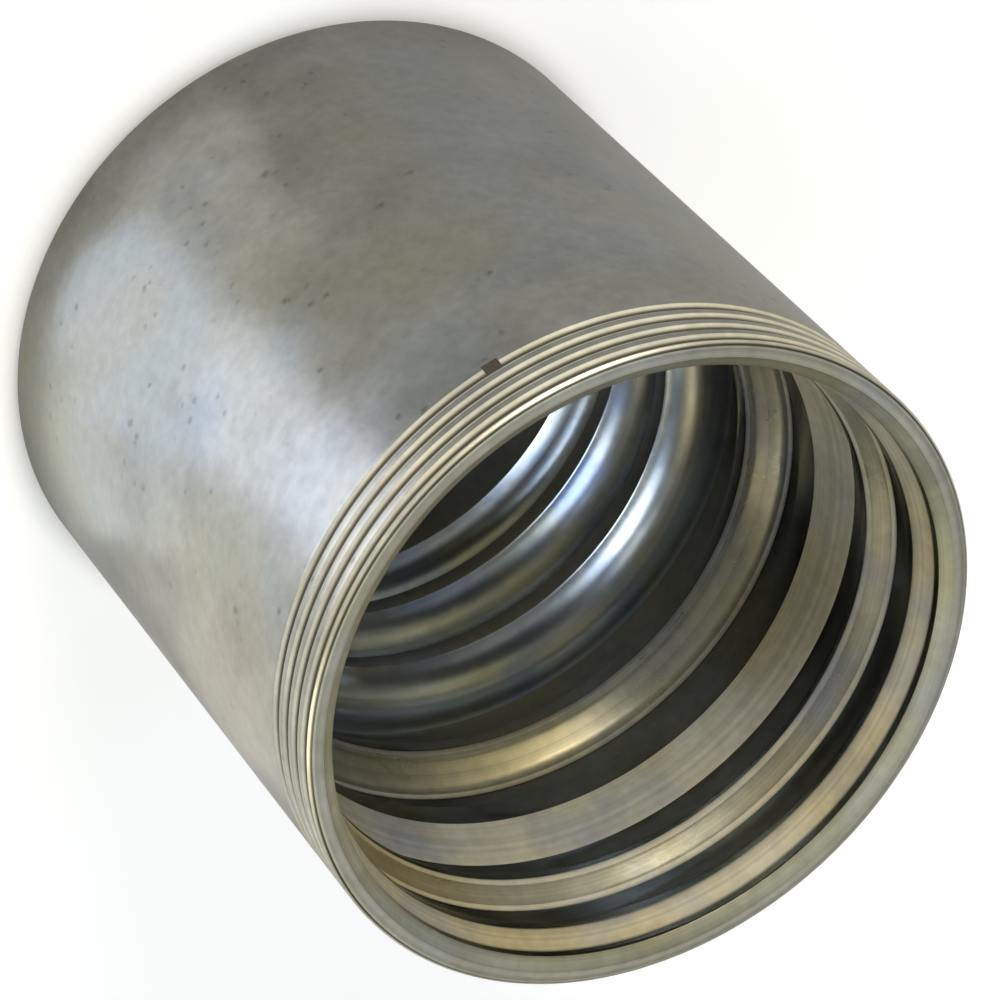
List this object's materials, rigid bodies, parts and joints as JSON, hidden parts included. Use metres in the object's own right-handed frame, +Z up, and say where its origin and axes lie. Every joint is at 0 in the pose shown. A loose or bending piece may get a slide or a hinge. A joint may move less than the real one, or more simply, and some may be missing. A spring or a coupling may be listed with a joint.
{
  "type": "crimp hose ferrule",
  "caption": "Turned steel crimp ferrule for a hydraulic hose: plain sleeve with marker grooves round the mouth, gripping ribs in the bore and a collar at the fitting end.",
  "frame": {"origin": "centre of the foot, on the flat face at the fitting end", "axes": "+Z up the bore, from the fitting end to the hose mouth; turned about Z, so X and Y are free"},
  "size_m": [0.044, 0.044, 0.047],
  "materials": {
    "zinc_plated_steel": "satin zinc plate over turned steel"
  },
  "bodies": {
    "root": {"ferrule_sleeve": "zinc_plated_steel"}
  },
  "joints": []
}
